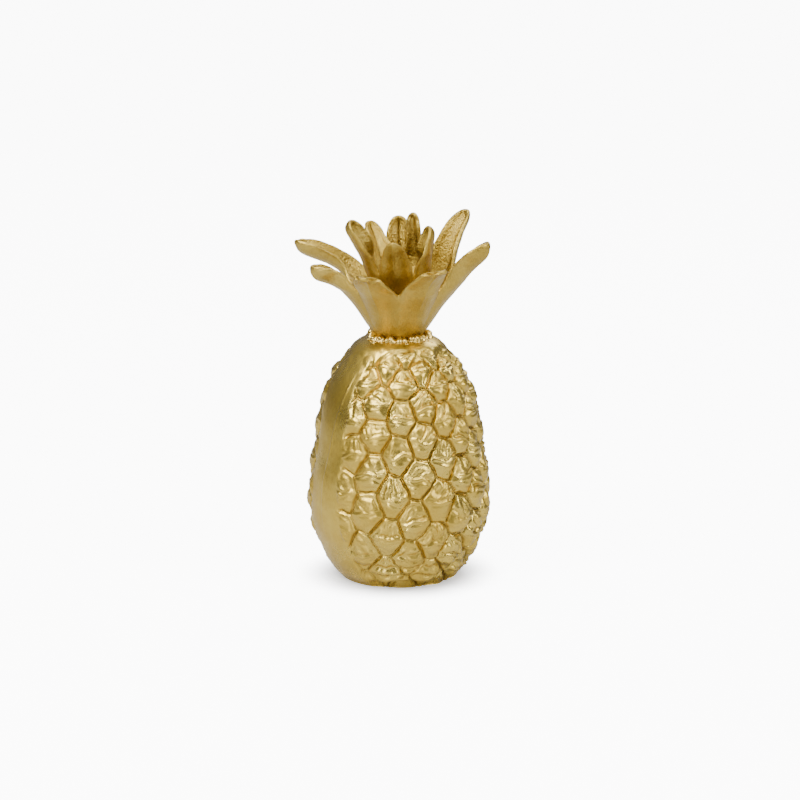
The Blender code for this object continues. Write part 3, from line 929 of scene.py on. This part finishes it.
    def build(self, material: bpy.types.Material) -> bpy.types.Object:
        """Makes the casting.

        Args:
            material: Its finish.

        Returns:
            The piece.
        """
        obj = self.outer_face()
        obj.vertex_groups.new(name="inner")
        wall = obj.modifiers.new("wall", "SOLIDIFY")
        wall.thickness = self.thickness * MM
        wall.offset = -1.0
        wall.shell_vertex_group = "inner"
        smooth = obj.modifiers.new("smooth", "SUBSURF")
        smooth.levels = smooth.render_levels = 2
        bpy.ops.object.select_all(action="DESELECT")
        bpy.context.view_layer.objects.active = obj
        obj.select_set(True)
        bpy.ops.object.modifier_apply(modifier="wall")
        bpy.ops.object.modifier_apply(modifier="smooth")
        mesh = obj.data
        inner = np.zeros(len(mesh.vertices))
        for vert in mesh.vertices:
            for group in vert.groups:
                inner[vert.index] = group.weight
        self.cast_marks(mesh, inner)
        mesh.shade_smooth()
        bpy.data.objects.remove(obj)
        return add_piece(self.name, mesh, material, [self.node])


OUTER_LEAVES = LeafWhorl(
    name="outer_crown", node="outer_leaves", pinch=0.15, groove=0.6,
    cup=[(13.4, 132.5), (14.0, 134.6), (16.0, 138.2), (18.8, 142.0), (24.1, 150.3), (29.0, 156.4),
         (31.8, 159.7)],
    leaves=[Leaf(-161.6, -141.0, 61.8, 176.4, 14.0, 8.4, 32.0, 2.9, 0.5, 7.0),
            Leaf(-110.1, -107.0, 51.1, 167.2, 14.0, 7.9, 31.0, 3.3, 0.5, 1.0),
            Leaf(-58.7, -57.0, 46.8, 170.4, -20.0, 7.2, 50.0, 0.1, 0.85),
            Leaf(-7.3, -3.0, 48.2, 173.8, -6.0, 8.0, 57.0, 0.3, 0.9, 6.0),
            Leaf(44.1, 38.0, 54.8, 182.0, 34.0, 8.9, 50.0, 2.0, 0.6),
            Leaf(95.6, 95.0, 51.2, 195.2, 46.0, 7.5, 59.0, 1.5, 1.0),
            Leaf(147.0, 147.0, 38.0, 192.9, 70.0, 7.2, 68.0, 1.2, 0.6)])

INNER_LEAVES = LeafWhorl(
    name="inner_crown", node="inner_leaves", pinch=0.10, groove=0.65,
    cup=[(10.2, 136.0), (11.0, 142.0), (12.8, 151.0), (15.0, 160.5), (18.2, 169.0)],
    leaves=[Leaf(-107.0, -107.0, 32.2, 196.4, 62.0, 7.2, 72.0, 1.9, 0.7, -32.0),
            Leaf(-41.0, -40.0, 27.5, 187.3, 48.0, 5.7, 70.0, 0.9, 1.0),
            Leaf(34.0, 34.0, 22.4, 194.6, 74.0, 6.8, 80.0, 1.7, 0.8, 40.0),
            Leaf(106.0, 106.0, 14.9, 200.0, 90.0, 5.3, 88.0, 1.4, 0.6),
            Leaf(178.0, 178.0, 34.2, 190.0, 44.0, 5.8, 62.0, 1.6, 0.7)])


# Azimuth in degrees, and radius, height and half width in millimetres, of each drop.
SPATTER = [(24.0, 19.0, 131.9, 1.3), (27.5, 20.2, 131.2, 1.1), (21.0, 20.6, 130.9, 0.9),
           (31.0, 21.8, 130.0, 1.0), (25.5, 22.6, 129.6, 0.8), (18.0, 18.4, 132.3, 1.0),
           (-78.0, 18.9, 132.3, 1.2), (-62.0, 18.2, 132.4, 0.9), (-20.0, 18.2, 132.2, 1.2),
           (2.0, 18.0, 132.4, 0.9), (95.0, 18.5, 132.2, 1.1), (150.0, 18.6, 132.2, 1.0)]


@dataclass
class WeldBead:
    """The lumpy bead of weld metal, with spatter beside it. Sizes in millimetres."""

    # Its middle line and its section.
    radius: float = 15.8
    height: float = 132.3
    half_width: float = 2.3
    half_height: float = 2.9
    # Faces round it and round its section.
    around: int = 420
    section: int = 30
    # Half the number of its ripples, its grain, its pits, and the height of a drop as a share of its width.
    ripples: float = 19.0
    grain: float = 0.4
    pit_depth: float = 1.5
    pit_shift: tuple = (9.0, 4.0, 2.0)
    drop_flatness: float = 0.7

    def build(self, material: bpy.types.Material) -> bpy.types.Object:
        """Makes the bead and its spatter.

        Args:
            material: Its finish.

        Returns:
            The piece.
        """
        bm = bmesh.new()
        painted_shade_layer = bm.verts.layers.float.new("painted_shade")
        rough_layer = bm.verts.layers.float.new("rough")
        rings = []
        for column in range(self.around):
            azimuth = 360.0 * column / self.around
            angle = math.radians(azimuth)
            ripple = abs(math.sin(angle * self.ripples + 1.3 * math.sin(angle * 5.0)))
            lump = 0.5 * math.sin(angle * 7.0 + 1.0) + 0.4 * math.sin(angle * 15.0 + 2.1)
            swell = 1.0 + 0.16 * lump + 0.42 * (ripple - 0.6)
            ring = []
            for step in range(self.section):
                turn = math.tau * step / self.section
                radius = self.radius + 0.3 * lump + self.half_width * swell * math.cos(turn)
                height = self.height + 0.5 * lump + self.half_height * swell * math.sin(turn)
                point = place(azimuth, radius, height)
                rough = noise.noise(point * 0.34) * 0.9
                pit = max(0.0, noise.noise(point * 0.45 + Vector(self.pit_shift)) - 0.3)
                out = rough - self.pit_depth * pit
                vert = bm.verts.new(place(azimuth, radius + out * math.cos(turn),
                                          height + out * math.sin(turn)) * MM)
                # Painted shade in the pits and between the ripples.
                vert[painted_shade_layer] = min(1.0, 3.2 * pit + 0.5 * (1.0 - min(1.0, 3.0 * ripple)))
                vert[rough_layer] = self.grain
                ring.append(vert)
            rings.append(ring)
        for ring, after in zip(rings, rings[1:] + rings[:1]):
            for step in range(self.section):
                other = (step + 1) % self.section
                bm.faces.new((ring[step], ring[other], after[other], after[step]))
        for azimuth, radius, height, size in SPATTER:
            blob = bmesh.ops.create_icosphere(bm, subdivisions=3, radius=size * MM)["verts"]
            centre = place(azimuth, radius, height)
            for vert in blob:
                shape = vert.co / MM
                shape.z *= self.drop_flatness
                shape *= 1.0 + 0.35 * noise.noise((shape + centre) * 0.8)
                vert.co = (centre + shape) * MM
                vert[rough_layer] = self.grain
        bmesh.ops.recalc_face_normals(bm, faces=list(bm.faces))
        mesh = mesh_from(bm, "weld_bead")
        mesh.shade_smooth()
        return add_piece("weld_bead", mesh, material, ["neck_weld"])


# Studio


@dataclass(frozen=True)
class SoftBox:
    """An area light aimed at the sculpture. Angles in degrees, sizes in metres, power in watts."""

    name: str
    azimuth: float
    elevation: float
    distance: float
    size: tuple
    power: float

    def build(self) -> None:
        """Makes the light. Its azimuth is counted from the camera's, to the right."""
        light = bpy.data.lights.new(self.name, "AREA")
        light.shape = "RECTANGLE"
        light.size, light.size_y = self.size
        light.energy = self.power
        obj = bpy.data.objects.new(self.name, light)
        middle = Vector((0.0, 0.0, 0.1))
        aim(obj, middle, CAMERA_AZIMUTH + self.azimuth, self.elevation, self.distance)


SOFT_BOXES = [
    SoftBox("key_light", -48.0, 48.0, 1.2, (0.6, 0.6), 18.0),
    SoftBox("side_light", 62.0, 30.0, 1.1, (0.3, 0.8), 8.0),
    SoftBox("low_light", -20.0, 3.0, 1.3, (0.25, 0.25), 3.5),
    SoftBox("top_light", 10.0, 82.0, 1.1, (0.7, 0.7), 7.0),
    SoftBox("back_light", 160.0, 40.0, 1.2, (0.8, 0.5), 6.0),
]


def build_stage() -> None:
    """A plain floor that looks white to the camera, with a soft shade where the sculpture stands."""
    bm = bmesh.new()
    bmesh.ops.create_grid(bm, x_segments=1, y_segments=1, size=30.0)
    mesh = mesh_from(bm, "floor")
    material = bpy.data.materials.new("floor_white")
    material.use_nodes = True
    shader = material.node_tree.nodes["Principled BSDF"]
    shader.inputs["Base Color"].default_value = (0.55, 0.55, 0.55, 1.0)
    shader.inputs["Roughness"].default_value = 0.8
    shader.inputs["Emission Color"].default_value = (1.0, 1.0, 1.0, 1.0)
    build = NodeTree(material.node_tree)
    camera_ray = build.node("ShaderNodeLightPath").outputs["Is Camera Ray"]
    near = build.node("ShaderNodeAmbientOcclusion", {"samples": 8}, {"Distance": 0.024}).outputs["AO"]
    glow = build.math("MULTIPLY", build.ramp(near, 0.3, 0.97, 0.7, 10.0), camera_ray)
    build.tree.links.new(glow, shader.inputs["Emission Strength"])
    mesh.materials.append(material)
    floor = bpy.data.objects.new("floor", mesh)
    bpy.context.scene.collection.objects.link(floor)


def build_world() -> None:
    """A white surround for the camera, and a dimmer one, darker to the sides, for the reflections."""
    world = bpy.data.worlds.new("studio")
    bpy.context.scene.world = world
    world.use_nodes = True
    world.node_tree.nodes.clear()
    build = NodeTree(world.node_tree)
    seen = build.node("ShaderNodeBackground", values={"Color": (1.0, 1.0, 1.0, 1.0), "Strength": 10.0})
    height = build.node("ShaderNodeSeparateXYZ",
                        values={0: build.node("ShaderNodeTexCoord").outputs["Generated"]}).outputs["Z"]
    glow = build.ramp(height, -0.2, 0.9, 0.16, 0.5)
    around = build.node("ShaderNodeBackground", values={"Color": (1.0, 0.98, 0.95, 1.0), "Strength": glow})
    camera_ray = build.node("ShaderNodeLightPath").outputs["Is Camera Ray"]
    mixed = build.node("ShaderNodeMixShader",
                       values={0: camera_ray, 1: around.outputs[0], 2: seen.outputs[0]})
    build.node("ShaderNodeOutputWorld", values={"Surface": mixed.outputs[0]})


@dataclass(frozen=True)
class PhotoCamera:
    """The photograph's view. Its lens and sensor are in millimetres."""

    elevation: float = 13.0
    distance: float = 1.55
    lens: float = 127.9
    sensor_width: float = 36.0
    # The picture's middle: metres above the base, and millimetres to the right of the axis.
    middle_height: float = 0.0974
    middle_right: float = 0.7

    def build(self) -> None:
        """Makes the camera and gives it to the scene."""
        camera = bpy.data.cameras.new("camera")
        camera.sensor_width = self.sensor_width
        camera.lens = self.lens
        obj = bpy.data.objects.new("camera", camera)
        azimuth = math.radians(CAMERA_AZIMUTH)
        right = Vector((math.cos(azimuth), math.sin(azimuth), 0.0))
        target = Vector((0.0, 0.0, self.middle_height)) + right * self.middle_right * MM
        aim(obj, target, CAMERA_AZIMUTH, self.elevation, self.distance)
        bpy.context.scene.camera = obj


def main() -> None:
    """Builds the pieces, the studio and the camera."""
    logging.basicConfig(level=logging.INFO)
    grain, tone = make_sand_grain(), make_gold_tone()
    FruitBody().build(FRUIT_GOLD.build(grain, tone))
    WeldBead().build(WELD_GOLD.build(grain, tone))
    leaf_material = LEAF_GOLD.build(grain, tone)
    OUTER_LEAVES.build(leaf_material)
    INNER_LEAVES.build(leaf_material)
    for box in SOFT_BOXES:
        box.build()
    build_stage()
    build_world()
    PhotoCamera().build()


if __name__ == "__main__":
    main()
